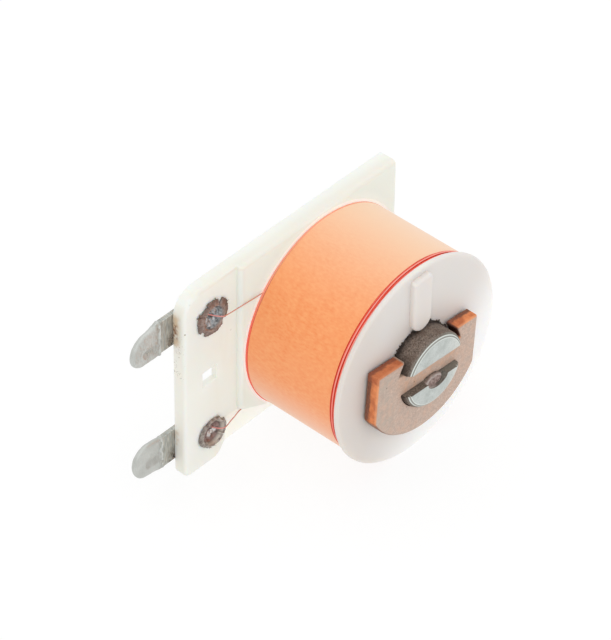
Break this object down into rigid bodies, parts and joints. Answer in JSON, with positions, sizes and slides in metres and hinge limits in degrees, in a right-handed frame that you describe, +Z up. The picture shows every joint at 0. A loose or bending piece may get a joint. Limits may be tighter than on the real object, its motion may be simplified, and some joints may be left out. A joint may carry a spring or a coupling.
{
  "type": "relay coil",
  "caption": "Relay coil: red wire under orange paper on a white bobbin with a terminal tongue, solder lugs, and a slotted steel pole with a copper shading ring.",
  "frame": {"origin": "on the coil axis at the rear face, at the mouth of the tapped hole in the core", "axes": "+X to the right, with the terminal tongue on the left; +Y to the rear along the coil axis, so the pole face looks along -Y; +Z up"},
  "size_m": [0.0553, 0.0271, 0.0356],
  "materials": {
    "nylon": "cream-white moulded nylon, slightly translucent, with a soft sheen",
    "core_steel": "dull plated steel with a ground pole face",
    "copper": "stamped copper plate, tarnished on the face and brighter on its edges",
    "enamelled_wire": "glossy red enamel on copper wire",
    "orange_paper": "matt orange wrapping paper with fine fibres",
    "lug_metal": "dull tinned brass strip, stained at the root",
    "eyelet_brass": "dark brown tarnished brass",
    "solder": "dull grey solder"
  },
  "bodies": {
    "root": {"bobbin": "nylon", "core": "core_steel", "shading_ring": "copper", "winding": "enamelled_wire", "paper_wrap": "orange_paper", "start_lead": "enamelled_wire", "finish_lead": "enamelled_wire", "upper_lug": "lug_metal", "lower_lug": "lug_metal", "upper_eyelet": "eyelet_brass", "lower_eyelet": "eyelet_brass", "upper_eyelet_solder": "solder", "lower_eyelet_solder": "solder", "upper_lug_tinning": "solder", "lower_lug_tinning": "solder"}
  },
  "joints": []
}
